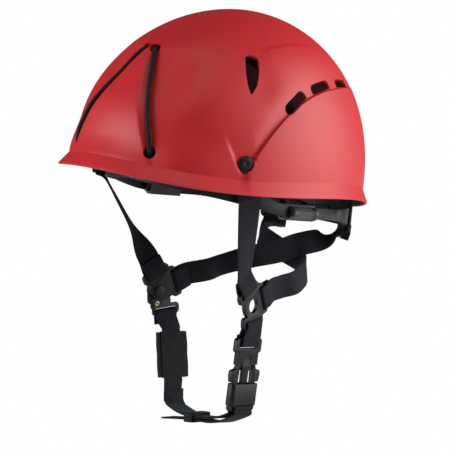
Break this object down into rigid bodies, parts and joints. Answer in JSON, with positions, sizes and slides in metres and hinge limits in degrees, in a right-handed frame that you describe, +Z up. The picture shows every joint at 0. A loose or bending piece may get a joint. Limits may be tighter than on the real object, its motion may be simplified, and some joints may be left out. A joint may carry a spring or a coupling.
{
  "type": "climbing_helmet",
  "caption": "Climbing helmet, hard shell with side vents, webbing cradle, nape band with thumb rollers, elastic lamp cords, chin strap with side-release buckle and spring-wire breakaway.",
  "frame": {"origin": "centre of the shell's base ring, in the middle of the head space (mount head)", "axes": "+Z up as worn, -Y the front, +X the wearer's left"},
  "size_m": [0.223, 0.2827, 0.3478],
  "materials": {
    "shell_plastic": "gloss",
    "black_plastic": "satin",
    "grey_plastic": "satin",
    "webbing": "woven",
    "cover_fabric": "brushed nap",
    "pad_foam": "knitted",
    "elastic": "braided",
    "spring_wire": "plated",
    "eyelet_brass": "satin"
  },
  "bodies": {
    "helmet": {"shell": "shell_plastic", "rivet_left": "black_plastic", "rivet_right": "black_plastic", "strap_anchor_left": "black_plastic", "strap_anchor_right": "black_plastic", "front_clip_left": "black_plastic", "front_clip_right": "black_plastic", "side_clip_left": "black_plastic", "side_clip_right": "black_plastic", "rear_clip_left": "black_plastic", "rear_clip_right": "black_plastic", "crown_strap_diagonal_a": "webbing", "crown_strap_diagonal_b": "webbing", "crown_strap_cross": "webbing", "crown_patch": "black_plastic", "headband": "black_plastic", "brow_pad": "pad_foam", "size_adjuster_left": "grey_plastic", "size_adjuster_right": "grey_plastic", "lamp_cord_left": "elastic", "lamp_cord_right": "elastic", "cord_stoppers": "black_plastic", "cord_grommets": "black_plastic", "rear_rivet_left": "black_plastic", "rear_rivet_right": "black_plastic", "rear_anchor_left": "black_plastic", "rear_anchor_right": "black_plastic", "front_strap_left": "webbing", "front_strap_right": "webbing", "rear_strap_left": "webbing", "rear_strap_right": "webbing", "yoke_ring_left": "black_plastic", "yoke_ring_right": "black_plastic", "release_knob": "black_plastic", "buckle_strap_left": "webbing", "buckle_male": "black_plastic"},
    "nape": {"nape_band": "black_plastic", "nape_pad": "pad_foam"},
    "roller_left": {"thumb_roller_left": "grey_plastic"},
    "roller_right": {"thumb_roller_right": "grey_plastic"},
    "buckle_lower": {"buckle_female": "black_plastic", "chin_strap_bottom": "webbing", "strap_keeper": "elastic"},
    "prong_front": {"buckle_prong_front": "black_plastic"},
    "prong_rear": {"buckle_prong_rear": "black_plastic"},
    "breakaway": {"release_clip": "black_plastic", "release_wire": "spring_wire", "release_eyelet": "eyelet_brass", "chin_strap_right": "webbing", "cover_back": "cover_fabric"},
    "flap_front": {"cover_flap_front": "cover_fabric"},
    "flap_rear": {"cover_flap_rear": "cover_fabric"}
  },
  "joints": [
    {"name": "nape_adjust", "type": "slide", "parent": "helmet", "child": "nape", "axis": [0, 0.9816, -0.1908], "range_m": [-0.016, 0.002]},
    {"name": "roller_left_turn", "type": "hinge", "parent": "helmet", "child": "roller_left", "pos_m": [0.0853, 0.00885, -0.0226], "axis": [0, 0.9816, -0.1908], "range_deg": [-481, 61]},
    {"name": "roller_right_turn", "type": "hinge", "parent": "helmet", "child": "roller_right", "pos_m": [-0.0853, 0.00885, -0.0226], "axis": [0, 0.9816, -0.1908], "range_deg": [-61, 481]},
    {"name": "buckle_release", "type": "slide", "parent": "helmet", "child": "buckle_lower", "axis": [0, -0.1799, -0.9837], "range_m": [0, 0.018], "deforming": ["buckle_prong_front", "buckle_prong_rear"]},
    {"name": "prong_front_squeeze", "type": "hinge", "parent": "helmet", "child": "prong_front", "pos_m": [0.047, -0.02731, -0.14952], "axis": [1, 0, 0], "range_deg": [0, 7], "stiffness_Nm_per_rad": 0.3},
    {"name": "prong_rear_squeeze", "type": "hinge", "parent": "helmet", "child": "prong_rear", "pos_m": [0.047, -0.00961, -0.15276], "axis": [-1, 0, 0], "range_deg": [0, 7], "stiffness_Nm_per_rad": 0.3},
    {"name": "breakaway_slip", "type": "slide", "parent": "helmet", "child": "breakaway", "axis": [0, 0, -1], "range_m": [0, 0.009]},
    {"name": "cover_flap_rear_open", "type": "hinge", "parent": "breakaway", "child": "flap_rear", "pos_m": [-0.04414, 0.00105, -0.16427], "axis": [0.2273, -0.1642, -0.9599], "range_deg": [0, 150]},
    {"name": "cover_flap_front_open", "type": "hinge", "parent": "breakaway", "child": "flap_front", "pos_m": [-0.04531, -0.02962, -0.1593], "axis": [-0.2273, 0.1642, 0.9599], "range_deg": [0, 90]}
  ],
  "couplings": [
    {"joint": "roller_left_turn", "follows": "nape_adjust", "rad_per_m": 523.6},
    {"joint": "roller_right_turn", "follows": "nape_adjust", "rad_per_m": -523.6},
    {"joint": "prong_rear_squeeze", "follows": "prong_front_squeeze", "ratio": 1},
    {"joint": "cover_flap_front_open", "follows": "cover_flap_rear_open", "ratio": 0.6}
  ]
}
